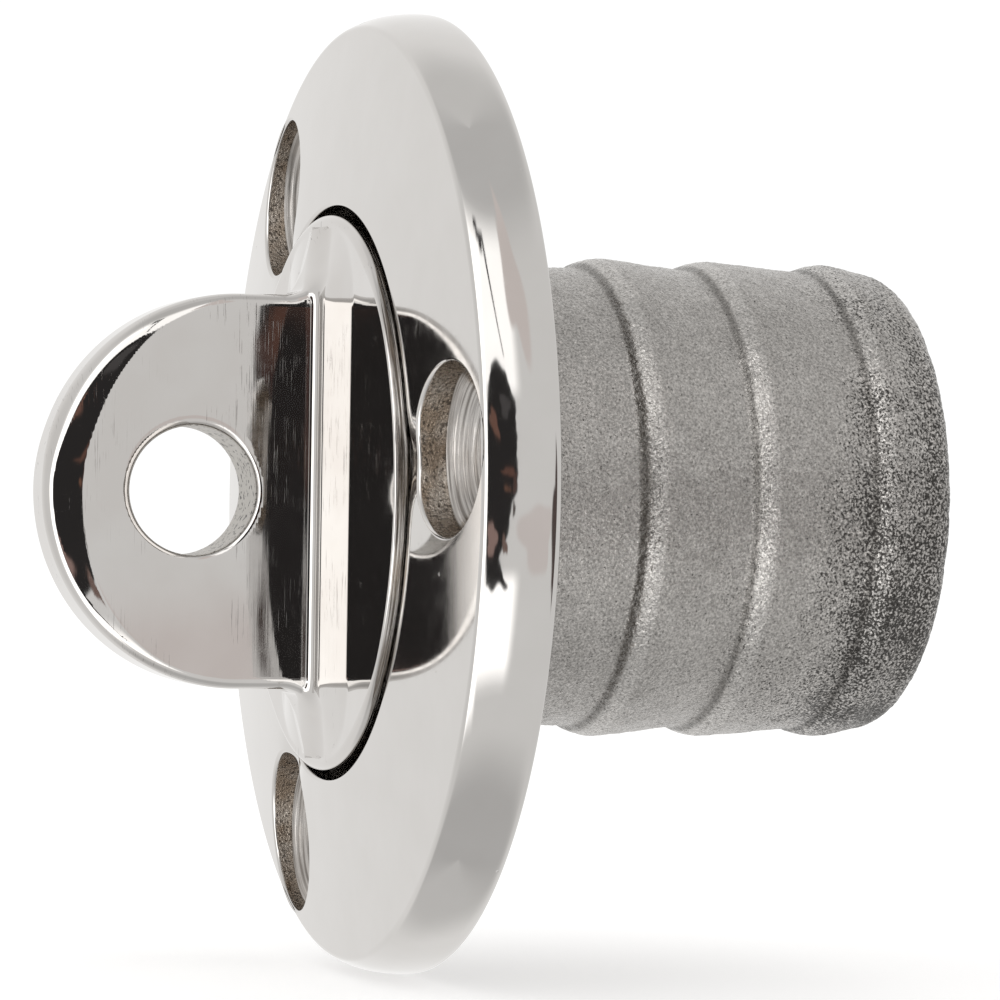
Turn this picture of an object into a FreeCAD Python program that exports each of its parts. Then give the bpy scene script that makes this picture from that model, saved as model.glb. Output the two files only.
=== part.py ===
import FreeCAD, Part
import math
import os

# A 38 mm through-hull hose fitting with a screw-in eye plug, in cast 316 stainless steel.
#
# The body is one casting: a domed round flange with three countersunk screw holes, and a
# barbed hose tail behind it. A round recess in the flange holds the head of the plug. The
# plug screws into the top of the tail, and its head carries a D-shaped eye that a hand, a
# bar or a shackle turns. An O-ring lies in a groove under the head and seals on the floor
# of the recess.
#
# Frame: the origin is the centre of the flange's back face, which lies against the hull.
# The tail points along +Y, the eye along -Y, and +Z is up. While it is being made, each
# shape stands on a work axis instead: z is the distance outward from the hull face, x is
# the frame's +X, and y is the frame's +Z. place() turns it into the frame. Millimetres.

# Flange
flange_back_r = 37.4        # where the flat back face ends
flange_max_r = 38.6         # widest part of the rim
flange_max_out = 1.2
rim_mid_r = 38.36           # the rim swells: a point on it, between its front edge and its widest
rim_mid_out = 2.9
flange_front_r = 37.5       # front edge of the rim
flange_front_out = 5.9
dome_r = 300.0              # radius of the domed face
rim_edge_r = 0.4            # rounding of the front edge

# Recess for the plug's head
recess_r = 23.0
recess_edge_r = 0.3
recess_floor_out = 2.6

# Screw holes, for M6 countersunk screws at 90 degrees
screw_count = 3
screw_pitch_r = 30.7
screw_clock_deg = 6.0       # angle of the first hole from +X, towards +Z
pocket_r = 6.5
pocket_depth = 1.9
countersink_r = 6.2
screw_hole_r = 3.3

# Hose tail
barb_r = 19.5
neck_r = 18.62
neck_straight = 6.0         # how far the tail runs straight from the hull face
barb_outs = (-15.0, -24.3, -34.3)
valley_rs = (18.7, 18.78, 18.94)       # the tail at the foot of each barb
barb_rise = 2.4             # axial length of the steep side, which faces the flange
tail_end_out = -39.5
tail_end_r = 18.9
tail_end_rounding = 2.2
tail_bore_r = 15.55
tail_mouth_chamfer = 0.6

# Thread, M33 x 2, right-handed
pitch = 2.0
male_major_r = 16.5
male_minor_r = 15.27
female_major_r = 16.65
sharp_r = male_major_r + pitch * math.sqrt(3) / 16     # where the 60 degree flanks meet
flank_gap = 0.08            # axial clearance on each flank
thread_start_deg = 45.0     # keeps the starts of the turns off the seams of the round faces
thread_relief_out = -12.0
thread_relief_length = 1.6
thread_relief_r = 16.8

# Plug
head_r = 22.3
head_under_out = 3.0
head_face_out = 8.2
head_edge_r = 0.4
pad_out = 9.1               # the low pad round the foot of the eye, with sloping sides
pad_half_width = 4.3
pad_half_length = 15.1
pad_slope = 5.9             # how far its sides run out, over the head's face
spigot_end_out = -9.5
spigot_neck_r = 15.0
spigot_neck_length = 1.8
spigot_chamfer = 1.0
core_mouth_r = 11.5         # the pocket cast in the end of the spigot
core_floor_r = 10.8
core_floor_out = 1.0
core_rounding = 2.0

# Eye
eye_half_thick = 3.1
eye_half_width = 15.7
eye_centre_out = 15.3       # centre of the round end
eye_root = 2.5              # how far the plate runs down into the head
eye_edge_r = 1.5
eye_foot_r = 3.5            # fillet between the eye's edge and the pad
eye_face_foot_r = 0.7       # fillet between the eye's faces and the pad
eye_hole_r = 5.1
eye_hole_out = 19.05
eye_hole_edge_r = 0.5

# O-ring
ring_r = 18.75              # radius of its centre line
ring_section_r = 1.2
ring_gap = 0.05             # clearance above and below, with the plug screwed home
groove_half_width = 1.45

tiny = 1e-4                 # shapes closer than this are taken to touch

dome_centre_out = flange_front_out - math.sqrt(dome_r ** 2 - flange_front_r ** 2)


def dome_out(radius):
    """Height of the domed face at a radius from the axis."""
    return dome_centre_out + math.sqrt(dome_r ** 2 - radius ** 2)


def at(radius, out):
    """A point of a turned profile, on the work axis."""
    return FreeCAD.Vector(radius, 0, out)


def line(start, end):
    return Part.LineSegment(start, end).toShape()


def arc(start, through, end):
    return Part.Arc(start, through, end).toShape()


def chain(points):
    """Straight edges through the points in turn."""
    return [line(a, b) for a, b in zip(points, points[1:])]


def corner_arc(start, corner, end):
    """A quarter-round arc that leaves start and reaches end, tangent to both sides of corner."""
    middle = (start + end) * 0.5
    towards = (corner - middle) * (math.sqrt(2) - 1)
    return arc(start, middle + towards, end)


def turned(edges):
    """A solid of revolution about the work axis, from the edges of a closed profile."""
    face = Part.Face(Part.Wire(edges))
    return face.revolve(FreeCAD.Vector(0, 0, 0), FreeCAD.Vector(0, 0, 1), 360)


def turned_points(points):
    return turned(chain(points + points[:1]))


def thread_turns(inner_r, half_width_at, outer_r, lowest_out, highest_out):
    """The turns of a right-handed thread, each a separate one-turn trapezium from inner_r to outer_r.

    Every turn starts at the same angle, so that threads made for different radii mesh.
    """
    helix = Part.makeHelix(pitch, pitch, outer_r)
    section = Part.makePolygon([
        at(inner_r, -half_width_at(inner_r)),
        at(outer_r, -half_width_at(outer_r)),
        at(outer_r, half_width_at(outer_r)),
        at(inner_r, half_width_at(inner_r)),
        at(inner_r, -half_width_at(inner_r)),
    ])
    turn = Part.Wire(helix.Edges).makePipeShell([section], True, True)
    turn.rotate(FreeCAD.Vector(0, 0, 0), FreeCAD.Vector(0, 0, 1), thread_start_deg)
    turns = []
    out = lowest_out
    while out < highest_out:
        copy = turn.copy()
        copy.translate(FreeCAD.Vector(0, 0, out))
        turns.append(copy)
        out += pitch
    return turns


def male_half_width(radius):
    return (sharp_r - radius) * math.tan(math.radians(30))


def female_half_width(radius):
    return male_half_width(radius) + flank_gap


def place(shape):
    """Turns a shape from the work axis into the part's frame."""
    shape.rotate(FreeCAD.Vector(0, 0, 0), FreeCAD.Vector(1, 0, 0), 90)
    return shape


def tail_outline():
    """The outside of the hose tail, from the neck to the rounded end."""
    points = [at(neck_r, 0), at(neck_r, -neck_straight)]
    for crest_out, foot_r in zip(barb_outs, valley_rs):
        points.append(at(foot_r, crest_out + barb_rise))
        points.append(at(barb_r, crest_out))
    rounding_start = at(tail_end_r, tail_end_out + tail_end_rounding)
    rounding_end = at(tail_end_r - tail_end_rounding, tail_end_out)
    points.append(rounding_start)
    edges = chain(points)
    edges.append(corner_arc(rounding_start, at(tail_end_r, tail_end_out), rounding_end))
    return edges, rounding_end


def flange_outline():
    """The recess edge, the domed face, the rim and the back face, in that order."""
    lip_r = recess_r + recess_edge_r
    lip_low = at(recess_r, dome_out(lip_r) - recess_edge_r)
    lip_high = at(lip_r, dome_out(lip_r))
    edge_high_r = flange_front_r - rim_edge_r
    edge_high = at(edge_high_r, dome_out(edge_high_r))
    edge_low = at(flange_front_r, flange_front_out - rim_edge_r)
    widest = at(flange_max_r, flange_max_out)
    back_corner = at(flange_back_r, 0)
    mid_r = (lip_r + edge_high_r) / 2
    edges = [corner_arc(lip_low, at(recess_r, dome_out(recess_r)), lip_high)]
    edges.append(arc(lip_high, at(mid_r, dome_out(mid_r)), edge_high))
    edges.append(corner_arc(edge_high, at(flange_front_r, flange_front_out), edge_low))
    edges.append(arc(edge_low, at(rim_mid_r, rim_mid_out), widest))
    edges.append(corner_arc(widest, at(flange_max_r, 0), back_corner))
    edges.append(line(back_corner, at(neck_r, 0)))
    return edges, lip_low


def screw_hole(index):
    """The tool that cuts one cast pocket, its countersink and its through hole."""
    top = dome_out(screw_pitch_r) + 2
    shoulder = dome_out(screw_pitch_r) - pocket_depth
    cone_end = shoulder - (countersink_r - screw_hole_r)
    tool = turned_points([
        at(0, top), at(pocket_r, top), at(pocket_r, shoulder), at(countersink_r, shoulder),
        at(screw_hole_r, cone_end), at(screw_hole_r, -1), at(0, -1),
    ])
    angle = math.radians(screw_clock_deg + index * 360 / screw_count)
    tool.translate(FreeCAD.Vector(screw_pitch_r * math.cos(angle), screw_pitch_r * math.sin(angle), 0))
    return tool


def make_body():
    tail_edges, tail_end = tail_outline()
    flange_edges, lip_low = flange_outline()
    chamfer_r = female_major_r + 0.3
    inside = chain([
        tail_end,
        at(tail_bore_r + tail_mouth_chamfer, tail_end_out),
        at(tail_bore_r, tail_end_out + tail_mouth_chamfer),
        at(tail_bore_r, thread_relief_out - thread_relief_length),
        at(thread_relief_r, thread_relief_out - thread_relief_length),
        at(thread_relief_r, thread_relief_out),
        at(tail_bore_r, thread_relief_out),
        at(tail_bore_r, recess_floor_out - (chamfer_r - tail_bore_r)),
        at(chamfer_r, recess_floor_out),
        at(recess_r, recess_floor_out),
        lip_low,
    ])
    body = turned(flange_edges + tail_edges + inside)
    for index in range(screw_count):
        body = body.cut(screw_hole(index))
    first_turn = thread_relief_out - pitch / 2
    for turn in thread_turns(tail_bore_r - 0.3, female_half_width, female_major_r, first_turn, recess_floor_out):
        body = body.cut(turn)
    return place(body)


def spigot():
    """The threaded part of the plug."""
    thread_top = head_under_out - spigot_neck_length
    crest_r = male_major_r - spigot_chamfer
    threaded = Part.makeCylinder(
        male_minor_r, thread_top - spigot_end_out, FreeCAD.Vector(0, 0, spigot_end_out),
    )
    first_turn = thread_relief_out - pitch / 2
    for turn in thread_turns(male_minor_r - 0.2, male_half_width, male_major_r, first_turn, thread_top):
        threaded = threaded.fuse(turn)
    envelope = turned_points([
        at(0, thread_top), at(crest_r, thread_top), at(crest_r + 1.5, thread_top - 1.5),
        at(crest_r + 1.5, spigot_end_out + 1.5), at(crest_r, spigot_end_out), at(0, spigot_end_out),
    ])
    neck = Part.makeCylinder(
        spigot_neck_r, head_under_out + 1 - thread_top, FreeCAD.Vector(0, 0, thread_top),
    )
    return threaded.common(envelope).fuse(neck)


def core_pocket():
    """The tool that hollows the spigot from its end."""
    rounding_start = at(core_floor_r, core_floor_out - core_rounding)
    rounding_end = at(core_floor_r - core_rounding, core_floor_out)
    edges = chain([
        rounding_end, at(0, core_floor_out), at(0, spigot_end_out - 1),
        at(core_mouth_r, spigot_end_out - 1), at(core_mouth_r, spigot_end_out), rounding_start,
    ])
    edges.append(corner_arc(rounding_start, at(core_floor_r, core_floor_out), rounding_end))
    return turned(edges)


def head():
    """The round head, with the O-ring's groove in its underside."""
    rim_low = at(head_r, head_face_out - head_edge_r)
    rim_high = at(head_r - head_edge_r, head_face_out)
    edges = chain([rim_high, at(0, head_face_out), at(0, head_under_out), at(head_r, head_under_out), rim_low])
    edges.append(corner_arc(rim_low, at(head_r, head_face_out), rim_high))
    disc = turned(edges)
    groove_top = recess_floor_out + 2 * (ring_section_r + ring_gap)
    groove = turned_points([
        at(ring_r - groove_half_width, head_under_out - 1), at(ring_r - groove_half_width, groove_top),
        at(ring_r + groove_half_width, groove_top), at(ring_r + groove_half_width, head_under_out - 1),
    ])
    return disc.cut(groove)


def rounded_rectangle(half_width, half_length, corner_r, out):
    """A rectangle with round corners, level on the work axis."""
    x, y = half_width - corner_r, half_length - corner_r
    bend = corner_r * math.sqrt(0.5)
    edges = []
    for side_x, side_y in ((1, 1), (-1, 1), (-1, -1), (1, -1)):
        on_x_side = FreeCAD.Vector(side_x * half_width, side_y * y, out)
        on_y_side = FreeCAD.Vector(side_x * x, side_y * half_length, out)
        corner = FreeCAD.Vector(side_x * (x + bend), side_y * (y + bend), out)
        edges.append(arc(on_x_side, corner, on_y_side))
    for side in (1, -1):
        edges.append(line(FreeCAD.Vector(side * half_width, -y, out), FreeCAD.Vector(side * half_width, y, out)))
        edges.append(line(FreeCAD.Vector(-x, side * half_length, out), FreeCAD.Vector(x, side * half_length, out)))
    return Part.Wire(Part.__sortEdges__(edges))


def pad():
    """The low pad that the eye stands on, from inside the head up to its flat top."""
    corner_r = 0.4
    slope = (pad_out - head_face_out) / (pad_slope - corner_r)
    sunk = 1.0 + corner_r * slope
    reach = (pad_out - head_face_out + sunk) / slope
    low = rounded_rectangle(
        pad_half_width + reach, pad_half_length + reach, corner_r + reach, head_face_out - sunk,
    )
    top = rounded_rectangle(pad_half_width, pad_half_length, corner_r, pad_out)
    solid = Part.makeLoft([low, top], True, True)
    above = Part.makeCylinder(head_r - head_edge_r, 2, FreeCAD.Vector(0, 0, head_face_out - 0.5))
    return solid.common(above)


def eye_plate():
    """The D-shaped plate of the eye, flared at its foot, with rounded edges and a bored hole."""
    def point(across, out):
        return FreeCAD.Vector(-eye_half_thick, across, out)

    foot_across = eye_half_width + eye_foot_r
    foot_out = pad_out + eye_foot_r
    diagonal = eye_foot_r * (1 - math.sqrt(0.5))
    edges = [
        line(point(-foot_across, pad_out - eye_root), point(foot_across, pad_out - eye_root)),
        arc(point(eye_half_width, eye_centre_out), point(0, eye_centre_out + eye_half_width),
            point(-eye_half_width, eye_centre_out)),
    ]
    for side in (1, -1):
        foot = point(side * foot_across, pad_out)
        flare_middle = point(side * (eye_half_width + diagonal), pad_out + diagonal)
        flare_top = point(side * eye_half_width, foot_out)
        edges.append(line(point(side * foot_across, pad_out - eye_root), foot))
        edges.append(arc(foot, flare_middle, flare_top))
        edges.append(line(flare_top, point(side * eye_half_width, eye_centre_out)))
    outline = Part.Wire(Part.__sortEdges__(edges))
    plate = Part.Face(outline).extrude(FreeCAD.Vector(2 * eye_half_thick, 0, 0))
    plate = plate.makeFillet(eye_edge_r, [
        edge for edge in plate.Edges
        if edge.BoundBox.XLength < tiny and edge.BoundBox.ZMax > pad_out + tiny
    ])
    bore_start = FreeCAD.Vector(-2 * eye_half_thick, 0, eye_hole_out)
    bore = Part.makeCylinder(eye_hole_r, 4 * eye_half_thick, bore_start, FreeCAD.Vector(1, 0, 0))
    plate = plate.cut(bore)
    return plate.makeFillet(eye_hole_edge_r, [
        edge for edge in plate.Edges
        if edge.BoundBox.XLength < tiny and abs(edge.BoundBox.YLength - 2 * eye_hole_r) < 0.01
    ])


def face_fillet(side):
    """The concave fillet along one face of the eye, where it meets the pad."""
    inner = side * (eye_half_thick - eye_face_foot_r)
    face_x = side * eye_half_thick
    foot_x = side * (eye_half_thick + eye_face_foot_r)
    top_out = pad_out + eye_face_foot_r
    low_out = pad_out - eye_face_foot_r
    top = at(face_x, top_out)
    foot = at(foot_x, pad_out)
    edges = chain([foot, at(foot_x, low_out), at(inner, low_out), at(inner, top_out), top])
    edges.append(corner_arc(top, at(face_x, pad_out), foot))
    strip = Part.Face(Part.Wire(edges)).extrude(FreeCAD.Vector(0, 2 * (eye_half_width - eye_edge_r), 0))
    strip.translate(FreeCAD.Vector(0, eye_edge_r - eye_half_width, 0))
    return strip


def head_with_eye():
    """The head and the eye as one piece."""
    joined = head().fuse(pad()).fuse(eye_plate())
    for side in (1, -1):
        joined = joined.fuse(face_fillet(side))
    return joined.removeSplitter()


def make_plug():
    plug = head_with_eye().fuse(spigot()).cut(core_pocket())
    return place(plug)


def make_ring():
    centre_out = recess_floor_out + ring_gap + ring_section_r
    return place(Part.makeTorus(ring_r, ring_section_r, FreeCAD.Vector(0, 0, centre_out)))


def main():
    os.makedirs("parts", exist_ok=True)
    nodes = {"body": make_body(), "eye_plug": make_plug(), "o_ring": make_ring()}
    for name, shape in nodes.items():
        shape.exportStep("parts/" + name + ".step")
        box = shape.optimalBoundingBox()
        print(name, "valid", shape.isValid(), "solids", len(shape.Solids), "volume", round(shape.Volume, 1),
              "X", round(box.XMin, 2), round(box.XMax, 2), "Y", round(box.YMin, 2), round(box.YMax, 2),
              "Z", round(box.ZMin, 2), round(box.ZMax, 2))
    for first, second in (("body", "eye_plug"), ("body", "o_ring"), ("eye_plug", "o_ring")):
        shared = nodes[first].common(nodes[second])
        print(first, second, "shared volume", round(shared.Volume, 5))


main()
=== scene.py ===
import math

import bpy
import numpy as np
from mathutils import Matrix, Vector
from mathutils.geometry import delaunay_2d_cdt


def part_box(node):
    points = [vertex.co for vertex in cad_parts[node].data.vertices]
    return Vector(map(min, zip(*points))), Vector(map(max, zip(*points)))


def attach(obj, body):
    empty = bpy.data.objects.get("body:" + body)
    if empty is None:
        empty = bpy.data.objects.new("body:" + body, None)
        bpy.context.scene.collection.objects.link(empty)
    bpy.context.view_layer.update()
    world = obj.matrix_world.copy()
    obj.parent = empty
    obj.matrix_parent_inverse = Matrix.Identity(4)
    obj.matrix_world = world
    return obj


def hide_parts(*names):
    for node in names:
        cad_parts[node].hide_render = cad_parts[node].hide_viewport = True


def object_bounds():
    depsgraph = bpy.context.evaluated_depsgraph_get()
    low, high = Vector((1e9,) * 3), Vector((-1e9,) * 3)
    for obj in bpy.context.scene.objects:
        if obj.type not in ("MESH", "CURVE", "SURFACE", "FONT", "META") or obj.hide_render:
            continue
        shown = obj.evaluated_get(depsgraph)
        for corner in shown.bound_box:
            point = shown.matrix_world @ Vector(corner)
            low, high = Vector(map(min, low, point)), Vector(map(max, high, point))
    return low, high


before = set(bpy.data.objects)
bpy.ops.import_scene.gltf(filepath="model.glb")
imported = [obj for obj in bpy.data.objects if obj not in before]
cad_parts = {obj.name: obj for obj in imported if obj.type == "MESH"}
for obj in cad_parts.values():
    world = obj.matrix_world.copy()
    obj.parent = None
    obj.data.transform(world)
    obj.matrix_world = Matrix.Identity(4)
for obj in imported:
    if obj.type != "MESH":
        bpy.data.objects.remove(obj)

# The looks of a polished through-hull fitting: a flange with a recess, a cast hose tail behind it,
# and a plug whose head carries an eye.
#
# Every shape is made on the fitting's work axis, in millimetres: z is the distance outward from the
# hull face, x is the frame's +X and y is the frame's +Z. in_frame() turns it into the frame, in metres.

CAD_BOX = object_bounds()
OUTWARD = np.array([0.0, 0.0, 1.0])
MM = 0.001
TAU = 2 * math.pi
SEED = 41

# Flange
DOME_R = 300.0
FRONT_R, FRONT_OUT = 37.5, 5.9
WIDEST_R = -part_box("body")[0].x / MM - 0.002
RECESS_R, RECESS_LIP, RECESS_FLOOR = 23.0, 0.3, 2.6
HOLE_PITCH_R, HOLE_COUNT, HOLE_CLOCK = 30.7, 3, math.radians(6.0)
POCKET_R, POCKET_DEPTH, POCKET_LIP = 6.5, 1.9, 0.28
RIDGE_HEIGHT = 0.0032
CONE_R, SCREW_R = 6.2, 3.3
WEB_R, WEB_DROP, WEB_REACH = 23.7, 0.42, 1.7

# Hose tail
TAIL_END = -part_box("body")[1].y / MM
TAIL_END_R, TAIL_ROUNDING = 18.9, 2.2
NECK_R, BARB_R = 18.62, 19.5
BARB_OUTS = (-15.0, -24.3, -34.3)
BARB_FEET_R = (18.66, 18.74, 18.9)
BARB_RISE = 2.2
TAIL_SMOOTHING = 0.22
# Height of the cast skin's bumps, with the shortest and longest length of each kind
TAIL_BUMPS = ((0.016, (2.4, 9.0)), (0.011, (0.75, 1.8)), (0.0085, (0.34, 0.8)))
NECK_STRAIGHT = 6.0
BORE_R, MOUTH_CHAMFER = 15.55, 0.6
RELIEF_OUT, RELIEF_LENGTH, RELIEF_R = -12.0, 1.6, 16.8

# Thread
PITCH = 2.0
SHARP_R = 16.5 + PITCH * math.sqrt(3) / 16
MALE_R = (15.27, 16.5)
FEMALE_R = (15.55, 16.65)
FLANK_GAP = 0.08
THREAD_START, THREAD_PHASE = -13.0, math.radians(45.0)
CHAMFER_R = FEMALE_R[1] + 0.3

# Plug
HEAD_R, HEAD_UNDER, HEAD_FACE = 22.3, 3.0, 8.2
HEAD_EDGE, HEAD_EDGE_SIDE = 0.7, 0.2
SPIGOT_END, SPIGOT_NECK_R, SPIGOT_NECK, CREST_R = -9.5, 15.0, 1.8, 15.5
POCKET_MOUTH_R, POCKET_FLOOR_R, POCKET_FLOOR, POCKET_ROUNDING = 11.5, 10.8, 1.0, 2.0

# Eye
EYE_THICK, EYE_WIDTH = 3.1, 15.7
EYE_TIP = -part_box("eye_plug")[0].y / MM
EYE_CENTRE = EYE_TIP - EYE_WIDTH
EYE_HOLE_R, EYE_HOLE_OUT, EYE_HOLE_EDGE = 5.1, 19.05, 0.5
# Rounding of the eye's edge, and what its foot and the upper side of its tip add
EYE_EDGE, EYE_EDGE_FOOT, EYE_EDGE_TIP = 0.75, 1.4, 0.45
BEVEL_SLOPE, BEVEL_CURVE, BEVEL_ONSET = 0.20, 0.018, 0.16
BEVEL_NARROW, BEVEL_WIDE = 0.9, 3.05
# Radians round the eye's end, from its sides, where the bevel starts to widen and over which it does
BEVEL_START_LOW, BEVEL_SPREAD = 0.27, 1.27
FOOT_END_R, FOOT_FACE_R = 2.6, 0.7
DISH_WIDTH, DISH_SLOPE = 0.9, 0.42
PAD_HEIGHT, PAD_HALF_WIDTH, PAD_HALF_LENGTH, PAD_SLOPE = 0.9, 4.3, 15.1, 5.9

# O-ring
RING_R, RING_SECTION = 18.75, 1.2
GROOVE_HALF = 1.45
RING_GAP = 0.05

DOME_CENTRE = FRONT_OUT - math.sqrt(DOME_R ** 2 - FRONT_R ** 2)
AROUND = 360
ANGLES = np.arange(AROUND) * TAU / AROUND


def in_frame(work):
    """Points or directions on the work axis, turned into the frame's directions."""
    return np.stack([work[..., 0], -work[..., 2], work[..., 1]], axis=-1)


def unit(vectors):
    return vectors / np.maximum(np.linalg.norm(vectors, axis=-1, keepdims=True), 1e-12)


class Skin:
    """Patches of surface, with a normal at each corner of each face, gathered into one mesh."""

    WELD = 1e-4

    def __init__(self):
        self.points = []
        self.normals = []
        self.faces = []
        self.zones = []
        self.count = 0

    def add(self, points, normals, faces, zone):
        """Adds faces of three or four corners. Each face is turned to agree with its normals."""
        points = np.asarray(points, float).reshape(-1, 3)
        normals = unit(np.asarray(normals, float).reshape(-1, 3))
        faces = np.asarray(faces, int)
        if faces.shape[1] == 3:
            faces = np.column_stack([faces, faces[:, 0]])
        across = points[faces[:, 2]] - points[faces[:, 0]]
        along = points[faces[:, 3]] - points[faces[:, 1]]
        agree = np.einsum("ij,ij->i", np.cross(across, along), normals[faces].sum(axis=1))
        faces = np.where(agree[:, None] < 0, faces[:, ::-1], faces)
        self.points.append(points)
        self.normals.append(normals)
        self.faces.append(faces + self.count)
        self.zones.append(np.full(len(faces), zone))
        self.count += len(points)

    def grid(self, points, normals, zone):
        """Adds a closed band: rows of points that each run once round."""
        rows, columns = points.shape[:2]
        index = np.arange(rows * columns).reshape(rows, columns)
        after = np.roll(index, -1, axis=1)
        faces = np.stack([index[:-1], index[1:], after[1:], after[:-1]], axis=-1)
        self.add(points, normals, faces.reshape(-1, 4), zone)

    def lathe(self, runs, zone):
        """Adds the surface turned from runs of (radius, out, normal radius, normal out)."""
        for run in runs:
            self.grid(spun(run[:, 0], run[:, 1]), spun(run[:, 2], run[:, 3]), zone)

    def flat(self, first, second, normal, zone):
        """Adds the band between two rings, with the same normal or normals along both."""
        self.grid(np.stack([first, second]), np.broadcast_to(normal, (2, *first.shape)), zone)

    def piece(self, name, materials, body, slot):
        """Welds the patches and makes the piece, which rides on its body."""
        points = np.concatenate(self.points)
        normals = np.concatenate(self.normals)
        faces = np.concatenate(self.faces)
        zones = np.concatenate(self.zones)
        keys = np.round(points / self.WELD + 0.123).astype(np.int64)
        _, first, welded = np.unique(keys, axis=0, return_index=True, return_inverse=True)
        corners = welded.reshape(-1)[faces]
        kept = corners != np.roll(corners, -1, axis=1)
        whole = (kept.sum(axis=1) > 2) & (corners[:, 0] != corners[:, 2]) & (corners[:, 1] != corners[:, 3])
        corners, faces, kept, zones = corners[whole], faces[whole], kept[whole], zones[whole]
        used, compact = np.unique(corners[kept], return_inverse=True)
        sizes = kept.sum(axis=1)
        starts = np.concatenate([[0], np.cumsum(sizes)[:-1]])
        mesh = bpy.data.meshes.new(name)
        mesh.vertices.add(len(used))
        mesh.vertices.foreach_set("co", (in_frame(points[first[used]]) * MM).astype(np.float32).ravel())
        mesh.loops.add(int(sizes.sum()))
        mesh.loops.foreach_set("vertex_index", compact.reshape(-1).astype(np.int32))
        mesh.polygons.add(len(sizes))
        mesh.polygons.foreach_set("loop_start", starts.astype(np.int32))
        mesh.polygons.foreach_set("material_index", zones.astype(np.int32))
        mesh.polygons.foreach_set("use_smooth", np.ones(len(sizes), bool))
        mesh.update(calc_edges=True)
        mesh.normals_split_custom_set(in_frame(normals[faces[kept]]).astype(np.float32))
        for material in materials:
            mesh.materials.append(material)
        piece = bpy.data.objects.new(name, mesh)
        bpy.context.scene.collection.objects.link(piece)
        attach(piece, body)
        return piece


# ---------------------------------------------------------------- turned shapes

def polar(radius, out, angle=ANGLES):
    """Points on the work axis, or flat points where out is None."""
    parts = [radius * np.cos(angle), radius * np.sin(angle)]
    if out is not None:
        parts.append(out)
    return np.stack(np.broadcast_arrays(*parts), axis=-1)


def spun(radius, out, angle=ANGLES):
    """Points on the work axis from radii and outs, one row for each, one column for each angle."""
    return polar(np.asarray(radius)[:, None], np.asarray(out)[:, None], angle)


def profile(points, roundings, arc_steps=6):
    """Runs of (radius, out, normal radius, normal out) along straight sides with rounded corners.

    The normal is on the left of the way the points run.
    """
    points = np.asarray(points, float)
    runs = []
    start = points[0]
    for index in range(1, len(points)):
        corner = points[index]
        way = unit(corner - points[index - 1])
        rounding = roundings[index] if index < len(points) - 1 else 0.0
        if rounding > 0:
            next_way = unit(points[index + 1] - corner)
            turn = math.acos(float(np.clip(way @ next_way, -1, 1)))
            reach = rounding * math.tan(turn / 2)
            end = corner - way * reach
        else:
            end = corner
        runs.append(straight(start, end, way))
        start = end
        if rounding > 0:
            runs.append(bend(end, way, next_way, turn, rounding, arc_steps))
            start = runs[-1][-1, :2]
    return runs


def left_of(way):
    return np.array([-way[1], way[0]])


def rotated(way, angle):
    cos, sin = math.cos(angle), math.sin(angle)
    return np.array([way[0] * cos - way[1] * sin, way[0] * sin + way[1] * cos])


def straight(start, end, way):
    normal = left_of(way)
    return np.array([[*start, *normal], [*end, *normal]])


def bend(start, way, next_way, turn, rounding, steps):
    """The arc that rounds one corner."""
    hand = math.copysign(1.0, way[0] * next_way[1] - way[1] * next_way[0])
    centre = start + left_of(way) * hand * rounding
    rows = []
    for step in range(steps + 1):
        angle = hand * turn * step / steps
        point = centre + rotated(start - centre, angle)
        rows.append([*point, *left_of(rotated(way, angle))])
    return np.array(rows)


def dome_out(radius):
    return DOME_CENTRE + np.sqrt(DOME_R ** 2 - radius ** 2)


def worn(points, normals):
    """Lowers the thin webs between the recess and the screw pockets, where polishing has worn them."""
    points = points.copy()
    normals = normals.copy()
    for centre in hole_centres():
        web = centre * (WEB_R / HOLE_PITCH_R)
        away = points[..., :2] - web
        drop = WEB_DROP * np.exp(-(away ** 2).sum(axis=-1) / (2 * WEB_REACH ** 2))
        points[..., 2] -= drop
        normals[..., :2] -= normals[..., 2:] * away * (drop / WEB_REACH ** 2)[..., None]
    return points, unit(normals)


def grid_normals(points):
    """Normals of a closed band from its own shape."""
    around = np.roll(points, -1, axis=1) - np.roll(points, 1, axis=1)
    along = np.gradient(points, axis=0)
    return unit(np.cross(along, around))


def agreeing(normals, wanted):
    """Normals turned to the side of others."""
    return normals * np.sign(np.einsum("ijk,ijk->ij", normals, wanted))[..., None]


def smooth_noise(shape, cell, lengths, seed):
    """Random bumps on a grid, with wavelengths between two lengths; both ends of each row meet."""
    random = np.random.default_rng(seed)
    spectrum = np.fft.fft2(random.standard_normal(shape))
    rows = np.fft.fftfreq(shape[0], cell[0])[:, None]
    columns = np.fft.fftfreq(shape[1], cell[1])[None, :]
    frequency = np.hypot(rows, columns)
    keep = np.exp(-(frequency * lengths[0]) ** 2) * (1 - np.exp(-(frequency * lengths[1]) ** 2))
    bumps = np.real(np.fft.ifft2(spectrum * keep))
    return bumps / bumps.std()


# ---------------------------------------------------------------- flat sheets with holes

def ring_points(radius, count, centre=(0.0, 0.0)):
    return polar(radius, None, np.arange(count) * TAU / count) + np.array(centre)


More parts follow.
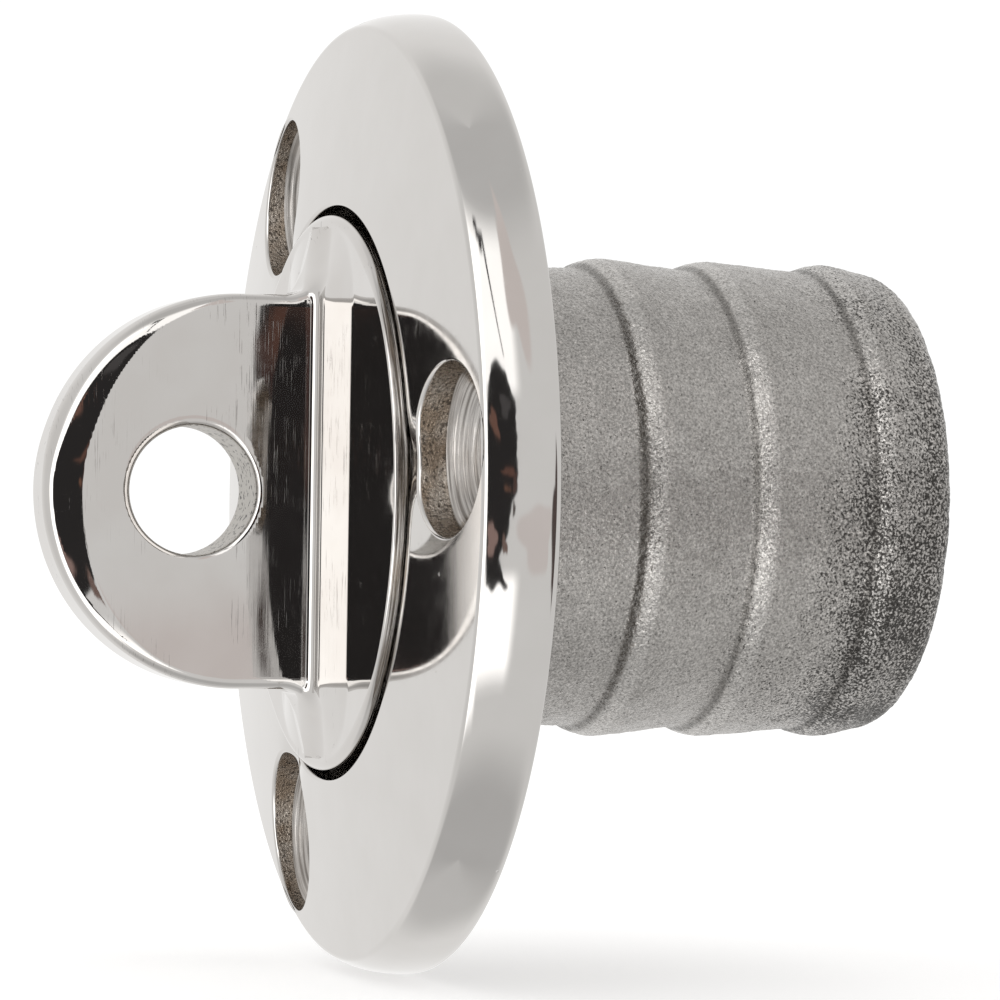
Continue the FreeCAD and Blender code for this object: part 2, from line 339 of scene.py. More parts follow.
def triangulate(loops, inside, keep):
    """Triangles between closed loops and loose inside points; keep(x, y) says which area is wanted."""
    points = np.concatenate(list(loops) + [inside])
    edges = []
    start = 0
    for loop in loops:
        index = np.arange(start, start + len(loop))
        edges += list(zip(index.tolist(), np.roll(index, -1).tolist()))
        start += len(loop)
    vectors = [Vector(point) for point in points]
    _, _, triangles, sources, _, _ = delaunay_2d_cdt(vectors, edges, [], 0, 1e-6, True)
    source = np.array([ids[0] if ids else -1 for ids in sources])
    triangles = source[np.array(triangles)]
    triangles = triangles[(triangles >= 0).all(axis=1)]
    middle = points[triangles].mean(axis=1)
    return points, triangles[keep(middle[:, 0], middle[:, 1])]


def hole_centres():
    return polar(HOLE_PITCH_R, None, HOLE_CLOCK + np.arange(HOLE_COUNT) * TAU / HOLE_COUNT)


def outside_holes(x, y, radius):
    clear = np.ones(np.shape(x), bool)
    for centre in hole_centres():
        clear &= np.hypot(x - centre[0], y - centre[1]) > radius
    return clear


def mesh_points(inner_r, outer_r, step, hole_clear):
    """Evenly spread points of an annulus, off its edges and its screw holes."""
    side = np.arange(-outer_r, outer_r, step)
    x, y = np.meshgrid(side, side * math.sqrt(3) / 2 * 1.1)
    x = x + (np.arange(x.shape[0]) % 2)[:, None] * step / 2
    radius = np.hypot(x, y)
    wanted = (radius > inner_r + step / 2) & (radius < outer_r - step / 2)
    wanted &= outside_holes(x, y, hole_clear + step / 2)
    return np.stack([x[wanted], y[wanted]], axis=-1)


def holed_annulus(inner_r, outer_r, hole_r, step, hole_count):
    """A flat annulus with the three screw holes through it, as 2-D points and triangles."""
    loops = [ring_points(inner_r, AROUND), ring_points(outer_r, AROUND)]
    loops += [ring_points(hole_r, hole_count, centre) for centre in hole_centres()]

    def keep(x, y):
        radius = np.hypot(x, y)
        return (radius > inner_r) & (radius < outer_r) & outside_holes(x, y, hole_r)

    return triangulate(loops, mesh_points(inner_r, outer_r, step, hole_r), keep)


# ---------------------------------------------------------------- body

POLISHED, CAST, POCKET, TURNED, HOLE_CONE = range(5)
HOLE_SIDES = 192


def add_dome(skin):
    lip_r = RECESS_R + RECESS_LIP
    edge_r = FRONT_R - 0.4
    flat, triangles = holed_annulus(lip_r, edge_r, POCKET_R + POCKET_LIP, 1.6, HOLE_SIDES)
    radius = np.hypot(flat[:, 0], flat[:, 1])
    points = np.column_stack([flat, dome_out(radius)])
    points, normals = worn(points, unit(points - [0, 0, DOME_CENTRE]))
    skin.add(points, normals, triangles, POLISHED)


def add_recess_lip(skin):
    lip_out = float(dome_out(RECESS_R + RECESS_LIP))
    angle = np.linspace(0, math.pi / 2, 7)
    radius = RECESS_R + RECESS_LIP * (1 - np.cos(angle))
    out = lip_out - RECESS_LIP * (1 - np.sin(angle))
    lip, facing = worn(spun(radius, out), spun(-np.cos(angle), np.sin(angle)))
    skin.grid(lip, facing, POLISHED)
    skin.flat(spun([RECESS_R], [RECESS_FLOOR])[0], lip[0], facing[0], TURNED)
    floor = np.array([[CHAMFER_R, RECESS_FLOOR, 0, 1], [RECESS_R, RECESS_FLOOR, 0, 1]])
    skin.lathe([floor], TURNED)


def rim_run():
    """The rim, from the front edge of the dome round to the back face, as one swelling curve."""
    edge_r = FRONT_R - 0.4
    dome_slope = math.asin(edge_r / DOME_R)
    keys = np.array([
        # length along the rim, and the way the surface faces: 90 is outward, 0 is sideways
        [0.0, 90 - math.degrees(dome_slope)], [0.14, 68], [0.34, 32], [0.44, 25], [1.4, 17.8],
        [2.6, 9.3], [3.7, 4.5], [4.8, 0.0], [5.4, -9.0], [5.8, -35.0], [6.15, -68.0], [6.5, -90.0],
    ])
    length = np.linspace(0, keys[-1, 0], 90)
    facing = np.radians(np.interp(length, keys[:, 0], keys[:, 1]))
    kernel = np.hanning(9) / np.hanning(9).sum()
    facing = np.convolve(np.pad(facing, 4, mode="edge"), kernel, mode="valid")
    step = np.diff(length, prepend=0)
    radius = edge_r + np.cumsum(np.sin(facing) * step)
    out = float(dome_out(edge_r)) - np.cumsum(np.cos(facing) * step)
    top, low = out[0], out[-1]
    out = top - (top - out) * top / (top - low)
    radius = edge_r + (radius - edge_r) * (WIDEST_R - 0.01 - edge_r) / (radius.max() - edge_r)
    return np.stack([radius, out, np.cos(facing), np.sin(facing)], axis=-1)


def add_rim_and_back(skin):
    rim = rim_run()
    back_edge_r = rim[-1, 0]
    skin.lathe([rim], POLISHED)
    flat, triangles = holed_annulus(tail_radius(np.zeros(1))[0], back_edge_r, SCREW_R, 3.0, HOLE_SIDES)
    points = np.column_stack([flat, np.zeros(len(flat))])
    skin.add(points, np.tile(-OUTWARD, (len(points), 1)), triangles, TURNED)


def cone_ridges(length):
    """Depths down a countersink and the height of the cutter's ridges there, nothing at either end."""
    depth = np.linspace(0, length, 129)
    random = np.random.default_rng(SEED + 7)
    kernel = np.hanning(9)
    rough = np.convolve(random.standard_normal(len(depth) + 8), kernel, mode="valid")
    lift = RIDGE_HEIGHT * rough / rough.std()
    return depth, lift * np.clip(np.minimum(depth, length - depth) / 0.15, 0, 1)


def add_screw_hole(skin, centre):
    """The polished lip, the cast pocket, its step, the countersink and the hole through."""
    towards = ring_points(1.0, HOLE_SIDES)

    def ring(radius, out):
        return np.column_stack([centre + towards * radius, np.broadcast_to(out, HOLE_SIDES)])

    def facing(out, inward):
        return np.column_stack([-towards * inward, np.full(HOLE_SIDES, out)])

    lip_points, lip_normals = [], []
    for step in np.linspace(0, math.pi / 2, 6):
        radius = POCKET_R + POCKET_LIP * (1 - math.sin(step))
        top = dome_out(np.hypot(*(centre + towards * radius).T))
        lip_points.append(ring(radius, top - POCKET_LIP * (1 - math.cos(step))))
        lip_normals.append(facing(math.cos(step), math.sin(step)))
    lip_points, lip_normals = worn(np.array(lip_points), np.array(lip_normals))
    skin.grid(lip_points, lip_normals, POLISHED)
    shoulder = float(dome_out(HOLE_PITCH_R)) - POCKET_DEPTH
    cone_end = shoulder - (CONE_R - SCREW_R)
    inward = facing(0.0, 1.0)
    bottom = ring(POCKET_R, shoulder)
    rows = [lip_points[-1] + (bottom - lip_points[-1]) * share for share in np.linspace(0, 1, 8)]
    skin.grid(np.array(rows), np.tile(inward, (8, 1, 1)), POCKET)
    skin.flat(bottom, ring(CONE_R, shoulder), OUTWARD, HOLE_CONE)
    depth, lift = cone_ridges(shoulder - cone_end)
    tilt = np.arctan(np.gradient(lift, depth * math.sqrt(2)))
    rows, normals = [], []
    for down, up, way in zip(depth, lift / math.sqrt(2), math.pi / 4 - tilt):
        rows.append(ring(CONE_R - down - up, shoulder - down + up))
        normals.append(facing(math.sin(way), math.cos(way)))
    skin.grid(np.array(rows), np.array(normals), HOLE_CONE)
    skin.flat(ring(SCREW_R, cone_end), ring(SCREW_R, 0.0), inward, HOLE_CONE)


def tail_radius(out):
    """Outside radius of the hose tail: three soft barbs, each steep towards the flange."""
    keys = [[1.0, NECK_R], [-NECK_STRAIGHT, NECK_R]]
    for crest, foot_r in zip(BARB_OUTS, BARB_FEET_R):
        keys += [
            [crest + BARB_RISE, foot_r - 0.02], [crest + 0.68 * BARB_RISE, BARB_R - 0.34],
            [crest + 0.3 * BARB_RISE, BARB_R - 0.07], [crest, BARB_R],
            [crest - 0.3 * BARB_RISE, BARB_R - 0.03],
        ]
    keys += [[TAIL_END + TAIL_ROUNDING, TAIL_END_R + 0.05], [TAIL_END - 3, TAIL_END_R - 0.15]]
    keys = np.array(keys[::-1])
    fine = np.linspace(keys[0, 0], keys[-1, 0], 4000)
    raw = np.interp(fine, keys[:, 0], keys[:, 1])
    width = int(round(TAIL_SMOOTHING / (fine[1] - fine[0])))
    kernel = np.hanning(2 * width + 1)
    soft = np.convolve(np.pad(raw, width, mode="edge"), kernel / kernel.sum(), mode="valid")
    return np.interp(out, fine, soft)


def add_tail(skin):
    """The cast outside of the hose tail, with its lumps and grain in the shape itself."""
    columns = 720
    step = 0.15
    straight_end = TAIL_END + TAIL_ROUNDING
    outs = np.linspace(0, straight_end, int(-straight_end / step))
    radii = tail_radius(outs)
    turn = np.linspace(0, math.pi / 2, int(TAIL_ROUNDING * 1.6 / step))[1:]
    corner = radii[-1] - TAIL_ROUNDING * (1 - np.cos(turn))
    flat = np.linspace(corner[-1], BORE_R + MOUTH_CHAMFER, 4)[1:]
    outs = np.concatenate([outs, straight_end - TAIL_ROUNDING * np.sin(turn), np.full(3, TAIL_END)])
    radii = np.concatenate([radii, corner, flat])
    slope_r, slope_out = np.gradient(radii), np.gradient(outs)
    normal_r, normal_out = -slope_out, slope_r
    size = np.hypot(normal_r, normal_out)
    angle = np.arange(columns) * TAU / columns
    points = spun(radii, outs, angle)
    normals = spun(normal_r / size, normal_out / size, angle)
    cell = (step, TAU * TAIL_END_R / columns)
    shape = points.shape[:2]
    height = np.zeros(shape)
    for kind, (bump, lengths) in enumerate(TAIL_BUMPS):
        height += bump * smooth_noise(shape, cell, lengths, SEED + kind)
    fade = np.clip(np.minimum(-outs / 0.8, (radii - BORE_R - MOUTH_CHAMFER) / 0.5), 0, 1)[:, None]
    points = points + normals * (np.minimum(height, 0.06) * fade)[..., None]
    points[..., 2] = np.maximum(points[..., 2], TAIL_END)
    skin.grid(points, agreeing(grid_normals(points), normals), CAST)


def thread_radius(out, limits, gap):
    """Radius of a threaded surface; the ridges of both threads follow the same helix."""
    ridge = THREAD_START + PITCH * (ANGLES[None, :] - THREAD_PHASE) / TAU
    offset = (out[:, None] - ridge + PITCH / 2) % PITCH - PITCH / 2
    radius = SHARP_R - (np.abs(offset) - gap) * math.sqrt(3)
    return np.clip(radius, *limits)


def threaded_band(radius, outs, side):
    """A threaded surface and its normals, which point away from the axis or, if side is -1, to it."""
    band = polar(radius, outs[:, None])
    away = spun(np.ones(len(outs)), np.zeros(len(outs)))
    return band, agreeing(grid_normals(band), side * away)


def add_bore(skin):
    mouth = profile([
        (BORE_R + MOUTH_CHAMFER, TAIL_END), (BORE_R, TAIL_END + MOUTH_CHAMFER),
        (BORE_R, RELIEF_OUT - RELIEF_LENGTH), (RELIEF_R, RELIEF_OUT - RELIEF_LENGTH), (RELIEF_R, RELIEF_OUT),
    ], [0, 0.2, 0, 0, 0])
    skin.lathe(mouth, CAST)
    outs = np.linspace(RELIEF_OUT, RECESS_FLOOR, 118)
    radius = thread_radius(outs, FEMALE_R, FLANK_GAP)
    radius = np.maximum(radius, (CHAMFER_R - (RECESS_FLOOR - outs))[:, None])
    band, normals = threaded_band(radius, outs, -1)
    skin.grid(band, normals, TURNED)
    skin.flat(spun([RELIEF_R], [RELIEF_OUT])[0], band[0], -OUTWARD, TURNED)


def make_body(materials):
    skin = Skin()
    add_dome(skin)
    add_recess_lip(skin)
    add_rim_and_back(skin)
    for centre in hole_centres():
        add_screw_hole(skin, centre)
    add_tail(skin)
    add_bore(skin)
    piece = skin.piece("body_casting", materials, "fitting", "body_steel")
    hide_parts("body")


# ---------------------------------------------------------------- plug

def blend_corner(first, second, radius):
    """Joins two solids' distances with a rounded inside corner."""
    near_first = np.maximum(radius - first, 0)
    near_second = np.maximum(radius - second, 0)
    return np.maximum(radius, np.minimum(first, second)) - np.hypot(near_first, near_second)


def round_edge(first, second, radius):
    """Keeps what both solids share, with a rounded outside edge."""
    return -blend_corner(-first, -second, radius)


def ease(value):
    value = np.clip(value, 0, 1)
    return value * value * (3 - 2 * value)


def pad_out(x, y):
    """Height of the head's face, with the low raised pad round the eye's foot."""
    away = np.hypot(np.maximum(np.abs(x) - PAD_HALF_WIDTH, 0), np.maximum(np.abs(y) - PAD_HALF_LENGTH, 0))
    share = 1 - away / PAD_SLOPE
    soft = 0.05
    foot = np.where(share < 2 * soft, np.maximum(share, 0) ** 2 / (4 * soft), share - soft)
    over = foot - (1 - 2 * soft)
    foot = np.where(over > -soft, foot - (np.maximum(over + soft, 0)) ** 2 / (4 * soft), foot)
    return HEAD_FACE + PAD_HEIGHT * np.clip(foot / (1 - 2 * soft), 0, 1)


def bevel_width(y, z):
    """How far the hand-polished bevel runs in from the eye's edge: widest at the tip."""
    lean = np.arctan2(np.maximum(z - EYE_CENTRE, 0), np.abs(y) + 1e-9)
    start = np.where(y > 0, 0.0, BEVEL_START_LOW)
    return BEVEL_NARROW + (BEVEL_WIDE - BEVEL_NARROW) * ease((lean - start) / BEVEL_SPREAD)


def eye_distance(x, y, z):
    """Signed distance, near enough, to the eye standing on the head's face."""
    outline = np.hypot(y, np.maximum(z - EYE_CENTRE, 0)) - EYE_WIDTH
    flared = blend_corner(outline, z - pad_out(0.0 * x, y), FOOT_END_R)
    inward = np.maximum(outline + bevel_width(y, z), 0)
    onset = np.sqrt(inward ** 2 + BEVEL_ONSET ** 2) - BEVEL_ONSET
    from_hole = np.hypot(y, z - EYE_HOLE_OUT)
    side = ease(0.35 + (y + z - EYE_HOLE_OUT) / (1.6 * EYE_HOLE_R))
    dish = side * np.maximum(EYE_HOLE_R + DISH_WIDTH - from_hole, 0) ** 2 * DISH_SLOPE / (2 * DISH_WIDTH)
    face = np.abs(x) - EYE_THICK + BEVEL_SLOPE * onset + BEVEL_CURVE * inward ** 2 + dish
    at_tip = ease(y / 6) * ease((z - EYE_CENTRE) / 6)
    edge_r = EYE_EDGE + EYE_EDGE_FOOT * ease((outline + 0.2) / 2.4) + EYE_EDGE_TIP * at_tip
    plate = round_edge(flared, face, edge_r)
    foot_r = FOOT_FACE_R + 2.0 * ease((np.abs(y) - PAD_HALF_LENGTH) / 2.5)
    solid = blend_corner(plate, z - pad_out(x, y), foot_r)
    return round_edge(solid, EYE_HOLE_R - from_hole, EYE_HOLE_EDGE)


def gradient(field, points, step=0.004):
    slopes = []
    for way in step * np.eye(3):
        slopes.append((field(*(points + way).T) - field(*(points - way).T)) / (2 * step))
    return np.stack(slopes, axis=-1)


def surface_net(field, low, high, pitch):
    """The surface where field is zero, as points, normals and quads, each point moved onto it."""
    axes = [np.arange(low[i], high[i] + pitch, pitch) for i in range(3)]
    grid = np.meshgrid(*axes, indexing="ij")
    inside = field(*grid) < 0
    nx, ny, nz = np.array(inside.shape) - 1
    corners = sum(
        inside[i:nx + i, j:ny + j, k:nz + k].astype(np.int8) for i in (0, 1) for j in (0, 1) for k in (0, 1)
    )
    cells = np.argwhere((corners > 0) & (corners < 8))
    number = np.full(corners.shape, -1)
    number[tuple(cells.T)] = np.arange(len(cells))
    centres = np.array([axes[i][0] for i in range(3)]) + (cells + 0.5) * pitch
    points = centres.copy()
    for _ in range(8):
        slope = gradient(field, points)
        value = field(*points.T)
        points -= slope * (value / np.maximum((slope ** 2).sum(axis=1), 1e-9))[:, None]
        points = np.clip(points, centres - 0.62 * pitch, centres + 0.62 * pitch)
    quads = []
    for axis in range(3):
        one, two = [other for other in range(3) if other != axis]
        crossing = np.argwhere(np.diff(inside, axis=axis))
        within = (crossing[:, one] > 0) & (crossing[:, two] > 0)
        within &= (crossing[:, one] < number.shape[one]) & (crossing[:, two] < number.shape[two])
        crossing = crossing[within]
        around = []
        for first, second in ((0, 0), (1, 0), (1, 1), (0, 1)):
            cell = crossing.copy()
            cell[:, one] -= first
            cell[:, two] -= second
            around.append(number[tuple(cell.T)])
        quads.append(np.stack(around, axis=-1))
    return points, unit(gradient(field, points)), np.concatenate(quads)


def boundary_loop(quads):
    """The open edge of a net, as point numbers in order."""
    sides = np.concatenate([quads[:, [i, (i + 1) % 4]] for i in range(4)])
    ordered = np.sort(sides, axis=1)
    _, index, counts = np.unique(ordered, axis=0, return_index=True, return_counts=True)
    follow = {}
    for a, b in ordered[index[counts == 1]]:
        follow.setdefault(int(a), []).append(int(b))
        follow.setdefault(int(b), []).append(int(a))
    start = next(iter(follow))
    loop = [start]
    previous = None
    while True:
        ahead = [point for point in follow[loop[-1]] if point != previous]
        previous = loop[-1]
        if ahead[0] == start:
            return np.array(loop)
        loop.append(ahead[0])


EYE_POLISH, PLUG_CAST, PLUG_TURNED = range(3)


def add_eye(skin):
    """The eye and the head's whole flat face, out to the rounding of its edge."""
    pitch = 0.2
    reach = HEAD_R - HEAD_EDGE
    low = (-reach - 0.8, -reach - 0.8, HEAD_FACE - 1.1)
    high = (reach + 0.8, reach + 0.8, EYE_TIP + 0.6)
    points, normals, quads = surface_net(eye_distance, low, high, pitch)
    middle = points[quads].mean(axis=1)
    quads = quads[np.hypot(middle[:, 0], middle[:, 1]) < reach - 1.5 * pitch]
    loop = boundary_loop(quads)
    points[loop, 2] = HEAD_FACE
    skin.add(points, normals, quads, EYE_POLISH)
    inner = points[loop][:, :2]
    outer = ring_points(reach, AROUND)

    def between(x, y):
        return in_polygon(x, y, outer) & ~in_polygon(x, y, inner)

    flat, triangles = triangulate([inner, outer], np.zeros((0, 2)), between)
    sheet = np.column_stack([flat, np.full(len(flat), HEAD_FACE)])
    skin.add(sheet, np.tile(OUTWARD, (len(sheet), 1)), triangles, EYE_POLISH)


def in_polygon(x, y, polygon):
    """Which points lie inside a closed outline."""
    inside = np.zeros(np.shape(x), bool)
    for (ax, ay), (bx, by) in zip(polygon, np.roll(polygon, -1, axis=0)):
        if ay != by:
            crosses = (ay > y) != (by > y)
            inside ^= crosses & (x < ax + (y - ay) * (bx - ax) / (by - ay))
    return inside


def add_head(skin):
    off_side = np.abs((ANGLES + math.pi / 2) % math.pi - math.pi / 2)
    edge = HEAD_EDGE_SIDE + (HEAD_EDGE - HEAD_EDGE_SIDE) * ease((off_side - 0.62) / 0.36)
    turn = np.linspace(0, math.pi / 2, 10)[:, None]
    radius = HEAD_R - edge * (1 - np.sin(turn))
    radius[0] = HEAD_R - HEAD_EDGE
    out = HEAD_FACE - edge * (1 - np.cos(turn))
    rim = polar(radius, out)
    facing = spun(np.sin(turn[:, 0]), np.cos(turn[:, 0]))
    flat_edge = polar(HEAD_R - edge, HEAD_FACE)
    skin.flat(rim[0], flat_edge, facing[0], EYE_POLISH)
    skin.grid(np.concatenate([flat_edge[None], rim[1:]]), facing, EYE_POLISH)
    groove_top = RECESS_FLOOR + 2 * (RING_SECTION + RING_GAP)
    skin.flat(rim[-1], spun([HEAD_R], [HEAD_UNDER])[0], facing[-1], PLUG_TURNED)
    skin.lathe(profile([
        (HEAD_R, HEAD_UNDER), (RING_R + GROOVE_HALF, HEAD_UNDER), (RING_R + GROOVE_HALF, groove_top),
        (RING_R - GROOVE_HALF, groove_top), (RING_R - GROOVE_HALF, HEAD_UNDER), (SPIGOT_NECK_R, HEAD_UNDER),
        (SPIGOT_NECK_R, HEAD_UNDER - SPIGOT_NECK),
    ], [0, 0.15, 0.2, 0.2, 0.15, 0.3, 0]), PLUG_TURNED)


def add_spigot(skin):
    top = HEAD_UNDER - SPIGOT_NECK
    outs = np.linspace(SPIGOT_END, top, 100)
    radius = thread_radius(outs, MALE_R, 0.0)
    radius = np.minimum(radius, CREST_R + np.minimum(outs - SPIGOT_END, top - outs)[:, None])
    band, normals = threaded_band(radius, outs, 1)
    skin.grid(band, normals, PLUG_TURNED)
    skin.flat(band[-1], spun([SPIGOT_NECK_R], [top])[0], OUTWARD, PLUG_TURNED)
    skin.flat(band[0], spun([POCKET_MOUTH_R], [SPIGOT_END])[0], -OUTWARD, PLUG_TURNED)
    skin.lathe(profile([
        (POCKET_MOUTH_R, SPIGOT_END), (POCKET_FLOOR_R, POCKET_FLOOR), (0.0, POCKET_FLOOR),
    ], [0, POCKET_ROUNDING, 0], 10), PLUG_CAST)


def make_plug(materials):
    skin = Skin()
    add_eye(skin)
    add_head(skin)
    add_spigot(skin)
    piece = skin.piece("eye_plug_polished", materials, "plug", "plug_steel")
    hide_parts("eye_plug")


def make_ring(materials):
    """The O-ring, with the fine parting line that moulding leaves round its inside and outside."""
    centre = RECESS_FLOOR + RING_GAP + RING_SECTION
    section = np.linspace(0, TAU, 49)
    flash = 0.035 * np.exp(-(np.sin(section) / 0.09) ** 2)
    radius = RING_SECTION - 0.035 + flash
    cos, sin = np.cos(section), np.sin(section)
    run = np.stack([RING_R + radius * cos, centre + radius * sin, cos, sin], axis=-1)
    skin = Skin()
    skin.lathe([run], 0)
    piece = skin.piece("o_ring_rubber", materials, "seal", "seal_rubber")
    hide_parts("o_ring")


# ---------------------------------------------------------------- materials
# Lengths and bump distances here are in metres, and noise scales are in waves a metre.

class Nodes:
    """Short calls for building one material."""

    def __init__(self, name):
        self.material = bpy.data.materials.new(name)
        self.material.use_nodes = True
        self.tree = self.material.node_tree
        self.tree.nodes.clear()
        self.shader = self.node("BsdfPrincipled")
        self.node("OutputMaterial", {"Surface": self.shader.outputs[0]})
        self.place = self.node("TexCoord").outputs["Object"]

    def fill(self, node, inputs):
        """Sets a node's inputs, to a number or colour or to what another node puts out."""
        for socket, source in inputs.items():
            if isinstance(source, (int, float, tuple)):
                node.inputs[socket].default_value = source
            else:
                self.tree.links.new(source, node.inputs[socket])

    def node(self, kind, inputs=None, **settings):
        node = self.tree.nodes.new("ShaderNode" + kind)
        for name, value in settings.items():
            setattr(node, name, value)
        self.fill(node, inputs or {})
        return node

    def math(self, operation, first, second=0.0):
        return self.node("Math", {0: first, 1: second}, operation=operation).outputs[0]

    def times(self, first, second):
        return self.math("MULTIPLY", first, second)

    def plus(self, first, second):
        return self.math("ADD", first, second)

    def minus(self, first, second):
        return self.math("SUBTRACT", first, second)

    def distance(self, first, second):
        """How far a place is from an axis, by its two coordinates across that axis."""
        return self.math("SQRT", self.plus(self.times(first, first), self.times(second, second)))

    def axes(self):
        """The place's coordinates along the frame's X, Y and Z."""
        return self.node("SeparateXYZ", {"Vector": self.place}).outputs

    def noise(self, scale, detail=2.0, roughness=0.5, vector=None, distortion=0.0):
        return self.node("TexNoise", {
            "Vector": vector or self.place, "Scale": scale, "Detail": detail, "Roughness": roughness,
            "Distortion": distortion,
        }).outputs["Fac"]

    def streaks(self, scale, detail, distortion=0.0):
        """Noise drawn out by a factor along each axis of the frame."""
        vector = self.node("Mapping", {"Vector": self.place, "Scale": scale}).outputs[0]
        return self.noise(1.0, detail, vector=vector, distortion=distortion)

    def cells(self, scale):
        return self.node("TexVoronoi", {"Vector": self.place, "Scale": scale}).outputs["Distance"]

    def span(self, value, low, high, to_low=0.0, to_high=1.0):
        """A value between two levels, carried over to another range."""
        return self.node("MapRange", {
            "Value": value, "From Min": low, "From Max": high, "To Min": to_low, "To Max": to_high,
        }).outputs["Result"]

    def blend(self, share, first, second):
        """A colour between two, by a share from 0 to 1."""
        return self.node("Mix", {"Factor": share, 6: first, 7: second}, data_type="RGBA").outputs[2]

    def bump(self, height, distance, normal=None):
        node = self.node("Bump", {"Height": height, "Distance": distance, "Strength": 1.0})
        if normal is not None:
            self.fill(node, {"Normal": normal})
        return node.outputs["Normal"]

    def finish(self, colour, roughness, normal, metallic=1.0):
        self.fill(self.shader, {
            "Base Color": colour, "Roughness": roughness, "Metallic": metallic, "Normal": normal,
        })
        return self.material


STEEL = (0.62, 0.605, 0.59, 1.0)
TURNED_SHADES = ((0.10, 0.085, 0.07, 1.0), (0.66, 0.64, 0.62, 1.0), (0.27, 0.225, 0.185, 1.0))
RING_SCALE, RING_DRIFT = 6000.0, 150.0
CONE_SHADES = ((0.15, 0.14, 0.13, 1.0), (0.56, 0.54, 0.52, 1.0), (0.34, 0.305, 0.275, 1.0))


def polished_steel():
    """Hand-buffed stainless steel: a mirror with slow waves, hairline scratches and a few pits."""
    make = Nodes("polished_steel")
    waves = make.noise(70.0, 1.0)
    hairs = make.streaks((9000.0, 350.0, 700.0), 2.0, 0.3)
    pits = make.cells(620.0)
    pit = make.span(pits, 0.03, 0.09, 1.0, 0.0)
    rare = make.span(make.noise(150.0), 0.60, 0.68)
    pit = make.times(pit, rare)
    normal = make.bump(waves, 0.00003)
    normal = make.bump(hairs, 3e-7, normal)
    normal = make.bump(make.minus(1.0, pit), 2e-5, normal)
    tint = make.span(make.noise(240.0, 3.0), 0.3, 0.7)
    colour = make.blend(tint, STEEL, (0.60, 0.585, 0.568, 1.0))
    roughness = make.span(make.noise(900.0, 3.0), 0.3, 0.7, 0.035, 0.075)
    return make.finish(colour, roughness, normal)


def eye_steel():
    """The eye's polish, drawn along the plate, with the hole's wall left rough."""
    make = Nodes("eye_steel")
    _, inward, along = make.axes()
    drawn = make.streaks((900.0, 5200.0, 130.0), 3.0)
    long_drawn = make.streaks((500.0, 1500.0, 60.0), 1.0)
    waves = make.noise(85.0, 1.0)
    scratch = make.span(make.streaks((2000.0, 14000.0, 240.0), 4.0), 0.62, 0.69)
    patches = make.span(make.noise(210.0), 0.5, 0.62)
    scratch = make.times(scratch, patches)
    out = make.times(inward, -1.0)
    radial = make.distance(make.minus(out, EYE_HOLE_OUT * MM), along)
    wall = make.span(radial, (EYE_HOLE_R + 0.02) * MM, (EYE_HOLE_R + 0.16) * MM, 1.0, 0.0)
    on_plate = make.span(out, 0.0096, 0.0106)
    grain = make.noise(3400.0, 3.0)
    normal = make.bump(waves, 0.00003)
    normal = make.bump(drawn, make.times(on_plate, 8e-7), normal)
    normal = make.bump(long_drawn, make.times(on_plate, 1.1e-6), normal)
    normal = make.bump(make.minus(1.0, scratch), make.times(on_plate, 1.5e-6), normal)
    normal = make.bump(grain, make.times(wall, 6e-5), normal)
    pitted = make.span(make.noise(2600.0), 0.36, 0.42)
    wall_colour = make.blend(pitted, (0.06, 0.055, 0.05, 1.0), (0.44, 0.42, 0.39, 1.0))
    tint = make.span(make.noise(150.0, 3.0), 0.35, 0.65)
    colour = make.blend(tint, STEEL, (0.59, 0.57, 0.552, 1.0))
    colour = make.blend(make.times(scratch, 0.55), colour, (0.2, 0.19, 0.18, 1.0))
    colour = make.blend(wall, colour, wall_colour)
    fine = make.span(make.noise(700.0, 3.0), 0.3, 0.7, 0.03, 0.06)
    roughness = make.plus(fine, make.times(wall, 0.34))
    return make.finish(colour, roughness, normal)


